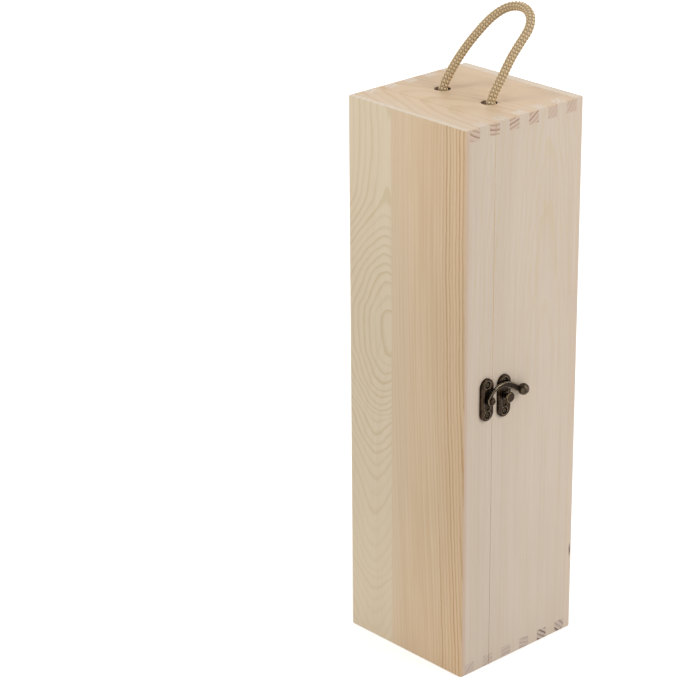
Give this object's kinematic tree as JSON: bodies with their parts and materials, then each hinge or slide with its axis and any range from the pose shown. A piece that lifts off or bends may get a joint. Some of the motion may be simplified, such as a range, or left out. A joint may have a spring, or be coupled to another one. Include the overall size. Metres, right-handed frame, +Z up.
{
  "type": "wine box",
  "caption": "Upright pine box for one bottle with finger-jointed corners, a hinged lid along one long face, a swing-arm latch and a braided rope handle.",
  "frame": {"origin": "middle of the box's underside", "axes": "+Z up the height, the lid faces -Y, the latch side faces +X and the hinges are on -X"},
  "size_m": [0.1093, 0.098, 0.3997],
  "materials": {
    "frame_pine": "sanded, unvarnished",
    "panel_pine": "sanded, unvarnished",
    "aged_bronze": "antique, dark with worn edges",
    "screw_bronze": "antique, dark",
    "rope": "braided cord with cream flecks"
  },
  "bodies": {
    "body": {"body_top_board": "frame_pine", "body_bottom_board": "frame_pine", "body_latch_side": "frame_pine", "body_hinge_side": "frame_pine", "back_panel_hinge_strip": "panel_pine", "back_panel_latch_strip": "panel_pine", "catch_plate": "aged_bronze", "catch_stud": "aged_bronze", "catch_plate_screws": "screw_bronze", "upper_hinge_body_leaf": "aged_bronze", "lower_hinge_body_leaf": "aged_bronze", "upper_hinge_pin": "aged_bronze", "lower_hinge_pin": "aged_bronze", "hinge_body_screws": "screw_bronze", "rope_handle": "rope", "rope_knot_hinge_side": "rope", "rope_knot_latch_side": "rope"},
    "lid": {"lid_top_board": "frame_pine", "lid_bottom_board": "frame_pine", "lid_latch_side": "frame_pine", "lid_hinge_side": "frame_pine", "lid_panel_hinge_strip": "panel_pine", "lid_panel_latch_strip": "panel_pine", "latch_plate": "aged_bronze", "latch_pivot_rivet": "aged_bronze", "latch_plate_screws": "screw_bronze", "upper_hinge_lid_leaf": "aged_bronze", "lower_hinge_lid_leaf": "aged_bronze", "hinge_lid_screws": "screw_bronze"},
    "latch_arm": {"latch_arm": "aged_bronze"}
  },
  "joints": [
    {"name": "lid_hinge", "type": "hinge", "parent": "body", "child": "lid", "pos_m": [-0.051, -0.0245, 0.175], "axis": [0, 0, -1], "range_deg": [0, 180]},
    {"name": "latch_pivot", "type": "hinge", "parent": "lid", "child": "latch_arm", "pos_m": [0.0521, -0.0286, 0.1795], "axis": [1, 0, 0], "range_deg": [-15, 180]}
  ]
}
